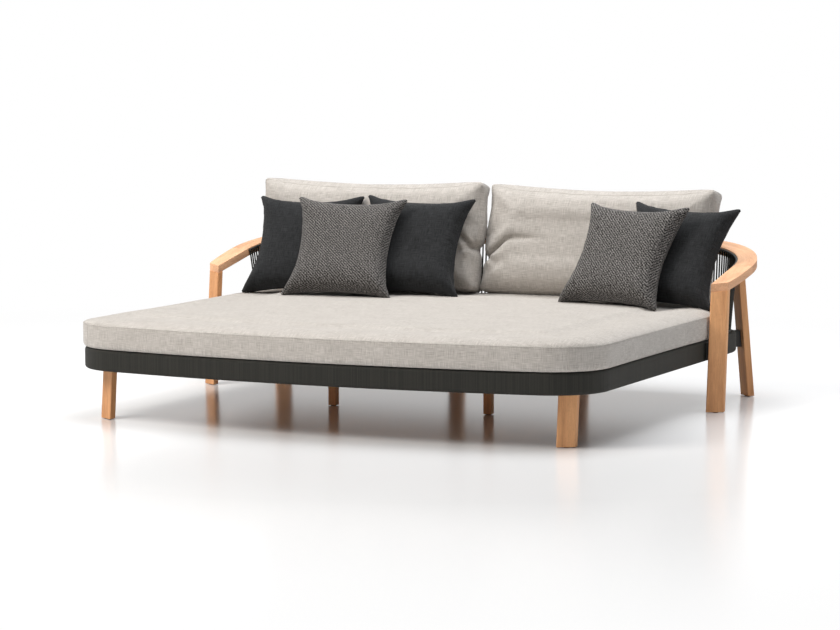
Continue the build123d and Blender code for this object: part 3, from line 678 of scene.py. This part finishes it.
def lay_cut(piece: bpy.types.Object, home: Matrix, shift: float) -> None:
    """Lays the UV map "cut" over a soft piece, in metres, panel by panel.

    Args:
        piece: The soft piece.
        home: The piece's own frame; Z is through its thickness.
        shift: Moves the pattern, so that no two pieces match.
    """
    mesh = piece.data
    layer = mesh.uv_layers.get("cut") or mesh.uv_layers.new(name="cut")
    back = home.inverted()
    turn = back.to_3x3()
    for polygon in mesh.polygons:
        normal = turn @ polygon.normal
        size = [abs(value) for value in normal]
        for index in polygon.loop_indices:
            place = back @ mesh.vertices[mesh.loops[index].vertex_index].co
            if size[2] >= max(size[0], size[1]) * 0.8:
                pair = (place.x, place.y)
            elif size[1] >= size[0]:
                pair = (place.x, place.z)
            else:
                pair = (place.y, place.z)
            layer.data[index].uv = (pair[0] + shift, pair[1] + shift * 0.7)


def simulate(piece: bpy.types.Object, pressure: float, frames: int, **settings: Any) -> None:
    """Fills a closed cloth shell with air for a few frames and keeps the result.

    Args:
        piece: The closed shell.
        pressure: The air's pressure.
        frames: How many frames it takes.
        settings: Further cloth settings.
    """
    solo(piece)
    modifier = piece.modifiers.new("air", "CLOTH")
    cloth = modifier.settings
    cloth.quality = 5
    cloth.mass = 0.3
    cloth.use_pressure = True
    cloth.uniform_pressure_force = pressure
    cloth.effector_weights.gravity = 0.0
    for key, value in settings.items():
        setattr(cloth, key, value)
    modifier.point_cache.frame_start = 1
    modifier.point_cache.frame_end = frames + 1
    scene = bpy.context.scene
    for number in range(1, frames + 1):
        scene.frame_set(number)
    depsgraph = bpy.context.evaluated_depsgraph_get()
    filled = piece.evaluated_get(depsgraph)
    places = [vertex.co.copy() for vertex in filled.data.vertices]
    piece.modifiers.remove(modifier)
    scene.frame_set(1)
    for vertex, place in zip(piece.data.vertices, places):
        vertex.co = place
    piece.data.update()


def puff(piece: bpy.types.Object, pressure: float, limit: float, **settings: Any) -> None:
    """Fills a closed shell, but lets no point move further than a limit.

    Args:
        piece: The closed shell.
        pressure: The air's pressure.
        limit: The furthest that a point may move, in metres.
        settings: Further cloth settings.
    """
    before = [vertex.co.copy() for vertex in piece.data.vertices]
    simulate(piece, pressure, FILL_FRAMES, **settings)
    for vertex, start in zip(piece.data.vertices, before):
        step = vertex.co - start
        vertex.co = start + step * min(1.0, limit / max(step.length, TINY))
    piece.data.update()


def seam_round(cover: bpy.types.Object, home: Matrix, offset: float, steps: int) -> list[Vector]:
    """Points round a cover where a level of its own frame meets its surface.

    Args:
        cover: The soft piece.
        home: The piece's own frame.
        offset: The level's place along the frame's Z.
        steps: How many points.

    Returns:
        The points in order.
    """
    points = []
    start = home @ Vector((0.0, 0.0, offset))
    for number in range(steps):
        angle = 2.0 * math.pi * number / steps
        way = home.to_3x3() @ Vector((math.cos(angle), math.sin(angle), 0.0))
        hit, place, _, _ = cover.ray_cast(start, way)
        if hit:
            points.append(place)
    return points


def welt_round(cover: bpy.types.Object, home: Matrix, offset: float, look: "WeltLook") -> None:
    """Sews a welt round a cover at a level of its own frame."""
    points = seam_round(cover, home, offset, look.steps)
    welt = tube_along(points, look.radius, look.name, closed=True)
    lay_cut(welt, home, look.radius)
    dress(welt, FINISHES.of(look.cloth))
    hook(welt, look.body, look.slot)


def reshape(piece: bpy.types.Object, home: Matrix, rule: Callable[[Vector], Vector]) -> None:
    """Moves every point of a piece by a rule on its place in its own frame."""
    back = home.inverted()
    for vertex in piece.data.vertices:
        vertex.co = home @ rule(back @ vertex.co)
    piece.data.update()


def standing_frame(centre: Vector, yaw: float, lean: float, roll: float) -> Matrix:
    """The frame of a leaning cushion: X across, Y up its face, Z out of its front.

    Args:
        centre: The cushion's middle.
        yaw: Turn about the upright, in degrees.
        lean: Lean back, in degrees.
        roll: Turn about its own thickness, in degrees.

    Returns:
        The frame as a matrix.
    """
    turned, leant = math.radians(yaw), math.radians(lean)
    across = Vector((math.cos(turned), math.sin(turned), 0.0))
    level = Vector((-math.sin(turned), math.cos(turned), 0.0))
    up = level * math.sin(leant) + Vector((0.0, 0.0, math.cos(leant)))
    out = across.cross(up)
    basis = Matrix((across, up, out)).transposed().to_4x4()
    return Matrix.Translation(centre) @ basis @ Matrix.Rotation(math.radians(roll), 4, "Z")


def box_middle(node: str) -> Vector:
    """The middle of a CAD node's box."""
    low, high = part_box(node)
    return (Vector(low) + Vector(high)) / 2.0


def hump(value: float, width: float) -> float:
    """One where the value is nought, and nearly nothing two widths away."""
    return math.exp(-((value / width) ** 2))


def fade_in(value: float, start: float, end: float) -> float:
    """Runs smoothly from nought at start to one at end."""
    share = min(max((value - start) / (end - start), 0.0), 1.0)
    return share * share * (3.0 - 2.0 * share)


@dataclass(frozen=True)
class WeltLook:
    """How a welt is made and what it belongs to."""

    name: str
    body: str
    slot: str
    cloth: Cloth
    radius: float = 0.002
    steps: int = 720


@dataclass
class Mattress:
    """The one-piece mattress, with its boxing seams."""

    voxel: float = 0.010
    dents: float = 0.0022
    welt: float = 0.0016
    seam_x: float = 1.047
    flat_half_width: float = 0.72
    edge_drop: float = 0.012
    corner_lift: float = 0.007

    def build(self) -> bpy.types.Object:
        """Makes the mattress and its seams.

        Returns:
            The cover, on which everything else rests.
        """
        piece = merged_copy("mattress", "mattress_cover")
        apply_modifier(piece, "REMESH", mode="VOXEL", voxel_size=self.voxel)
        apply_modifier(piece, "SMOOTH", factor=0.5, iterations=2)
        reshape(piece, Matrix.Identity(4), self._settled)
        lay_cut(piece, Matrix.Identity(4), 0.0)
        dress(piece, FINISHES.of(PALE))
        smooth(piece, 80.0)
        hook(piece, "mattress_body", "pale_fabric", "mattress")
        self._corner_seam(piece, -1)
        self._corner_seam(piece, 1)
        middle = Matrix.Translation(Vector((0.0, (MATTRESS_FRONT + MATTRESS_BACK) / 2.0, 0.0)))
        look = WeltLook("mattress_top_welt", "mattress_body", "pale_fabric", PALE, 0.0022, 900)
        welt_round(piece, middle, MATTRESS_SEAM, look)
        return piece

    def _settled(self, place: Vector) -> Vector:
        """Lays soft dents over the top and keeps the underside flat."""
        upper = fade_in(place.z, MATTRESS_SEAM - 0.04, MATTRESS_TOP - 0.004)
        edge = max(abs(place.x) - self.flat_half_width, 0.0) / (MATTRESS_HALF_WIDTH - self.flat_half_width)
        crest = fade_in(place.z, MATTRESS_SEAM + 0.002, MATTRESS_TOP - 0.006)
        drop = self.edge_drop * edge * crest * fade_in(-place.x, 0.0, 0.6)
        lift = self.corner_lift * upper * math.exp(-((abs(place.x) - self.seam_x) ** 2) / 0.03)
        lift *= fade_in(-place.y, -MATTRESS_FRONT - 0.32, -MATTRESS_FRONT - 0.1)
        wave = noise.noise(Vector((place.x * 2.3, place.y * 2.6, 1.7)))
        ripple = noise.noise(Vector((place.x * 7.0, place.y * 7.0, 4.1)))
        side = fade_in(place.z, MATTRESS_BOTTOM + 0.01, MATTRESS_BOTTOM + 0.04)
        bulge = noise.noise(Vector((place.x * 4.0, place.y * 4.0, 8.0))) * self.dents * side * (1.0 - upper)
        out = Vector((place.x, place.y + 0.1, 0.0)).normalized() * bulge
        rise = (wave * self.dents + ripple * self.dents * 0.3) * upper + lift - drop
        return place + out + Vector((0.0, 0.0, rise))

    def _corner_seam(self, cover: bpy.types.Object, side: int) -> None:
        """An upright sewn seam where the front boxing meets the corner."""
        points = []
        steps = 14
        for number in range(steps + 1):
            span = MATTRESS_SEAM + 0.004 - MATTRESS_BOTTOM - 0.012
            height = MATTRESS_BOTTOM + 0.012 + span * number / steps
            aim = Vector((side * self.seam_x, MATTRESS_FRONT - 0.1, height))
            hit, place, _, _ = cover.ray_cast(aim, Vector((0.0, 1.0, 0.0)))
            if hit:
                points.append(place)
        word = "left" if side < 0 else "right"
        seam = tube_along(points, self.welt, f"mattress_{word}_corner_seam")
        lay_cut(seam, Matrix.Identity(4), 0.3)
        dress(seam, FINISHES.of(PALE))
        hook(seam, "mattress_body", "pale_fabric")


def tube_along(points: list[Vector], radius: float, name: str, closed: bool = False) -> bpy.types.Object:
    """A slim welt along points, as a mesh.

    Args:
        points: The middle line.
        radius: Half its thickness.
        name: The piece's name.
        closed: Whether the line meets itself.

    Returns:
        The welt.
    """
    curve = bpy.data.curves.new(name, "CURVE")
    curve.dimensions = "3D"
    curve.bevel_depth = radius
    curve.bevel_resolution = 2
    curve.use_fill_caps = True
    spline = curve.splines.new("POLY")
    spline.points.add(len(points) - 1)
    for point, place in zip(spline.points, points):
        point.co = (*place, 1.0)
    spline.use_cyclic_u = closed
    holder = bpy.data.objects.new(name, curve)
    bpy.context.scene.collection.objects.link(holder)
    solo(holder)
    bpy.ops.object.convert(target="MESH")
    made = bpy.context.view_layer.objects.active
    smooth(made, 60.0)
    return made


@dataclass
class BackCushion:
    """A boxed back cushion with a crowned front, slumped and folded at its inner end."""

    node: str
    yaw: float
    inner_end: int
    fold_y: float
    fold_rise: float
    fold_run: float
    bed: bpy.types.Object
    lean: float = 13.0
    voxel: float = 0.006
    half_width: float = 0.525
    half_height: float = 0.24
    half_band: float = 0.051
    sag: float = 0.015
    pressure: float = 3.0
    fill_limit: float = 0.010
    low_fill: float = 0.012
    high_fill: float = 0.006
    crease: float = 0.022
    crease_width: float = 0.011
    ridge: float = 0.008
    ridge_width: float = 0.03
    ridge_above: float = 0.04
    ridge_below: float = 0.035
    end_run: float = 0.07
    lobe: float = 0.013
    lobe_above: float = 0.10
    lobe_width: float = 0.085
    notch: float = 0.016
    notch_width: float = 0.02
    wrinkle: float = 0.006
    wrinkle_reach: float = 0.11
    dents: float = 0.0035

    def build(self) -> None:
        """Makes the cushion."""
        home = standing_frame(box_middle(self.node), self.yaw, self.lean, 0.0)
        piece = merged_copy(self.node, f"{self.node}_cover")
        apply_modifier(piece, "REMESH", mode="VOXEL", voxel_size=self.voxel)
        apply_modifier(piece, "SMOOTH", factor=0.5, iterations=1)
        puff(piece, self.pressure, self.fill_limit, bending_stiffness=0.5, shrink_min=-0.01)
        reshape(piece, home, self._slumped)
        rest_on(piece, self.bed)
        lay_cut(piece, home, 0.37 + 0.21 * self.inner_end)
        dress(piece, FINISHES.of(PALE))
        smooth(piece, 80.0)
        hook(piece, f"{self.node}_body", "pale_fabric", self.node)
        for word, offset in (("front", self.half_band), ("back", -self.half_band)):
            look = WeltLook(f"{self.node}_{word}_welt", f"{self.node}_body", "pale_fabric", PALE, 0.0014)
            welt_round(piece, home, offset, look)

    def _slumped(self, place: Vector) -> Vector:
        """Sags the top, sets the fill down and folds the inner end."""
        x, y, z = place.x * self.inner_end, place.y, place.z
        low = fade_in(-y, -0.05, self.half_height)
        high = fade_in(y, 0.0, self.half_height)
        front = fade_in(z, -0.02, 0.06)
        share = x / self.half_width
        y -= self.sag * high * max(1.0 - share * share, 0.0)
        z += front * (self.low_fill * low - self.high_fill * high)
        fold = self.fold_y + self.fold_rise * fade_in(self.half_width - x, 0.0, self.fold_run)
        off = place.y - fold
        near = fade_in(x, self.half_width - 2.2 * self.fold_run, self.half_width - 0.4 * self.fold_run)
        z -= front * self.crease * hump(off, self.crease_width) * near
        above = hump(off - self.ridge_above, self.ridge_width)
        below = hump(off + self.ridge_below, self.ridge_width)
        z += front * self.ridge * (above + below) * near
        edge = fade_in(x, self.half_width - self.end_run, self.half_width)
        x += edge * self.lobe * hump(place.y - self.fold_y - self.lobe_above, self.lobe_width)
        x -= edge * self.notch * hump(place.y - self.fold_y, self.notch_width)
        away = Vector((x - self.half_width, place.y - self.fold_y, 0.0))
        angle = math.atan2(away.y, -away.x)
        reach = math.exp(-away.length / self.wrinkle_reach) * fade_in(away.length, 0.0, 0.05)
        z += front * self.wrinkle * reach * math.sin(angle * 8.0 + 0.6)
        wave = noise.noise(Vector((place.x * 6.0, place.y * 9.0, 2.0 + self.inner_end)))
        z += front * self.dents * wave
        return Vector((x * self.inner_end, y, z))


def rest_on(piece: bpy.types.Object, bed: bpy.types.Object, gap: float = 0.0004) -> None:
    """Flattens what would sink below the top of what a piece rests on."""
    for vertex in piece.data.vertices:
        if vertex.co.z > MATTRESS_TOP + 0.012:
            continue
        hit, place, _, _ = bed.ray_cast(Vector((vertex.co.x, vertex.co.y, 1.0)), Vector((0.0, 0.0, -1.0)))
        if hit and vertex.co.z < place.z + gap:
            vertex.co.z = place.z + gap
    piece.data.update()


class Filling:
    """Fills square covers and keeps each kind, for the pillows to share."""

    def __init__(self) -> None:
        """Starts with no cover made."""
        self.made: dict[int, bpy.types.Mesh] = {}

    def cover(self, kind: int, node: str, home: Matrix) -> bpy.types.Mesh:
        """A filled cover about its own middle, simulated once for each kind.

        Args:
            kind: Which of the simulated covers.
            node: The CAD pillow that gives its shape.
            home: That pillow's own frame.

        Returns:
            A mesh for one pillow.
        """
        if kind not in self.made:
            self.made[kind] = self._filled(kind, node, home)
        return self.made[kind].copy()

    @staticmethod
    def _filled(kind: int, node: str, home: Matrix) -> bpy.types.Mesh:
        """Remeshes the pillow's shape and fills it a little."""
        shell = merged_copy(node, f"pillow_filling_{kind}")
        shell.data.transform(home.inverted())
        apply_modifier(shell, "REMESH", mode="VOXEL", voxel_size=0.0062)
        apply_modifier(shell, "SMOOTH", factor=0.5, iterations=1)
        puff(shell, 4.0 + kind, 0.009, bending_stiffness=0.4 + 0.3 * kind, shrink_min=-0.01)
        mesh = shell.data.copy()
        bpy.data.objects.remove(shell)
        return mesh


@dataclass(frozen=True)
class Settle:
    """Where a pillow's cover has settled beside its solid, and how it is turned."""

    shift: tuple[float, float, float]
    yaw: float
    roll: float
    lean: float = 31.0


@dataclass
class ThrowPillow:
    """A filled throw pillow that leans on what is behind it."""

    node: str
    solid_yaw: float
    settle: Settle
    cloth: Cloth
    slot: str
    kind: int
    flip: bool
    filling: Filling
    bed: bpy.types.Object
    solid_lean: float = 30.0
    solid_width: float = 0.51
    width: float = 0.50
    height: float = 0.488
    drop: float = 0.006
    low_fill: float = 0.20
    high_fill: float = 0.10
    belly: float = 0.010
    draw: float = 0.016
    corner_pull: float = 0.010
    dents: float = 0.0035
    pucker: float = 0.003
    pucker_turn: float = 62.0

    def build(self) -> None:
        """Makes the pillow."""
        middle = box_middle(self.node)
        solid_home = standing_frame(middle, self.solid_yaw, self.solid_lean, 0.0)
        mesh = self.filling.cover(self.kind, self.node, solid_home)
        turned = self.settle
        home = standing_frame(middle + Vector(turned.shift), turned.yaw, turned.lean, turned.roll)
        piece = bpy.data.objects.new(f"{self.node}_cover", mesh)
        bpy.context.scene.collection.objects.link(piece)
        if self.flip:
            piece.data.transform(Matrix.Scale(-1.0, 4, Vector((1.0, 0.0, 0.0))))
            piece.data.flip_normals()
        piece.data.transform(Matrix.Scale(self.width / self.solid_width, 4))
        reshape(piece, Matrix.Identity(4), self._slumped)
        piece.data.transform(Matrix.Translation((0.0, 0.0, -self.drop)) @ home)
        rest_on(piece, self.bed)
        apply_modifier(piece, "SUBSURF", levels=1, render_levels=1)
        lay_cut(piece, home, 0.11 * len(self.node) + 0.5 * self.kind)
        dress(piece, FINISHES.of(self.cloth))
        smooth(piece, 80.0)
        hook(piece, f"{self.node}_body", self.slot, self.node)

    def _slumped(self, place: Vector) -> Vector:
        """Lets the fill sink, flattens the bottom edge and puckers it."""
        x, y, z = place
        share_x = x / (self.width / 2.0)
        share_y = y / (self.height / 2.0)
        low = fade_in(-share_y, 0.0, 1.0)
        high = fade_in(share_y, 0.0, 1.0)
        z *= 1.0 + self.low_fill * low - self.high_fill * high
        y -= self.belly * low * low * max(1.0 - share_x * share_x, 0.0)
        side = fade_in(abs(share_x), 0.45, 1.0) * max(1.0 - share_y * share_y, 0.0)
        x -= math.copysign(self.draw, x) * side * (1.0 - 0.4 * share_y)
        corner = (abs(share_x) * abs(share_y)) ** 5
        x += math.copysign(self.corner_pull, x) * corner
        y += math.copysign(self.corner_pull, y) * corner
        wave = noise.noise(Vector((x * 7.0, y * 7.0, 2.0 + self.kind)))
        pucker = math.sin(x * self.pucker_turn + 3.0 * wave) * math.exp(-((share_y + 1.0) ** 2) / 0.02)
        z += math.copysign(1.0, z) * (self.dents * wave + self.pucker * pucker) * min(1.0, abs(z) / 0.02)
        return Vector((x, y, z))


@dataclass
class Studio:
    """Floor, lamps, world and camera."""

    floor_size: float = 60.0
    key_power: float = 690.0
    top_power: float = 400.0
    sky_power: float = 0.25
    lens: float = 126.43
    tilt: float = 84.455
    turn: float = 24.559

    def build(self) -> None:
        """Makes the floor, the light and the camera."""
        bpy.ops.object.select_all(action="DESELECT")
        bpy.ops.mesh.primitive_plane_add(size=self.floor_size, location=(0.0, 0.0, 0.0))
        floor = bpy.context.view_layer.objects.active
        floor.name = "studio_floor"
        dress(floor, FINISHES.of(StudioFloor()))
        self._world()
        self._lamp("key_lamp", (-4.2, -5.2, 6.6), 4.5, self.key_power, (1.0, 0.965, 0.92))
        self._lamp("top_lamp", (0.8, 0.8, 6.0), 5.0, self.top_power, (0.98, 0.99, 1.0))
        self._camera()
        bpy.context.scene.view_settings.view_transform = "Standard"

    def _world(self) -> None:
        """White where the camera and reflections see it, plain grey light elsewhere."""
        world = bpy.data.worlds.new("studio_world")
        bpy.context.scene.world = world
        world.use_nodes = True
        tree = Tree.of_world(world)
        rays = tree.node("ShaderNodeLightPath", {}, {})
        seen = Value(tree, rays.outputs["Is Camera Ray"]).most(rays.outputs["Is Glossy Ray"])
        seen = seen.most(rays.outputs["Is Transmission Ray"])
        sky = {"Color": rgb(0.95, 0.97, 1.0), "Strength": self.sky_power}
        soft = tree.node("ShaderNodeBackground", {}, sky)
        white = tree.node("ShaderNodeBackground", {}, {"Color": rgb(1.0, 1.0, 1.0), "Strength": 1.0})
        mixed = tree.node("ShaderNodeMixShader", {}, {0: seen, 1: soft.outputs[0], 2: white.outputs[0]})
        tree.feed(tree.output.inputs["Surface"], mixed.outputs[0])

    @staticmethod
    def _lamp(name: str, place: tuple, size: float, power: float, colour: tuple) -> None:
        """A square soft lamp that faces the daybed."""
        light = bpy.data.lights.new(name, "AREA")
        light.shape = "SQUARE"
        light.size = size
        light.energy = power
        light.color = colour
        holder = bpy.data.objects.new(name, light)
        holder.location = place
        aim = Vector((0.0, 0.0, 0.3)) - Vector(place)
        holder.rotation_euler = aim.to_track_quat("-Z", "Y").to_euler()
        bpy.context.scene.collection.objects.link(holder)

    def _camera(self) -> None:
        """The photograph's camera."""
        camera = bpy.data.cameras.new("camera")
        camera.lens = self.lens
        camera.sensor_width = 36.0
        holder = bpy.data.objects.new("camera", camera)
        holder.location = (5.1165, -11.5683 + POST_Y, 1.5842)
        holder.rotation_euler = (math.radians(self.tilt), 0.0, math.radians(self.turn))
        bpy.context.scene.collection.objects.link(holder)
        bpy.context.scene.camera = holder


def main() -> None:
    """Builds the daybed's looks and the studio in order."""
    logging.basicConfig(level=logging.INFO, format="%(message)s")
    bpy.ops.object.select_all(action="DESELECT")
    WoodenParts().build()
    MetalAndCord().build()
    bed = Mattress().build()
    BackCushion("left_back_cushion", 3.0, 1, -0.055, 0.055, 0.085, bed).build()
    BackCushion("right_back_cushion", -2.0, -1, -0.094, 0.09, 0.15, bed).build()
    fill = Filling()
    dark, grey = "charcoal_fabric", "grey_fabric"
    pillows = [
        ThrowPillow(
            "left_dark_pillow", 6.0,
            Settle((0.0137, 0.0038, -0.0085), 4.0, 1.0),
            CHARCOAL, dark, 0, False, fill, bed,
        ),
        ThrowPillow(
            "middle_dark_pillow", 4.0,
            Settle((0.0216, -0.0089, -0.0004), 8.0, -1.5),
            CHARCOAL, dark, 1, False, fill, bed,
        ),
        ThrowPillow(
            "left_grey_pillow", 5.0,
            Settle((0.0342, -0.022, -0.0039), 8.0, -0.5),
            GREY_TWILL, grey, 0, True, fill, bed,
        ),
        ThrowPillow(
            "right_dark_pillow", -9.5,
            Settle((-0.0088, 0.0062, -0.0088), -6.0, -2.5),
            CHARCOAL, dark, 1, True, fill, bed,
        ),
        ThrowPillow(
            "right_grey_pillow", -17.0,
            Settle((0.0097, -0.0097, -0.0074), -13.0, -0.5),
            GREY_TWILL, grey, 0, False, fill, bed,
        ),
    ]
    for pillow in pillows:
        pillow.build()
    Studio().build()


if __name__ == "__main__":
    main()
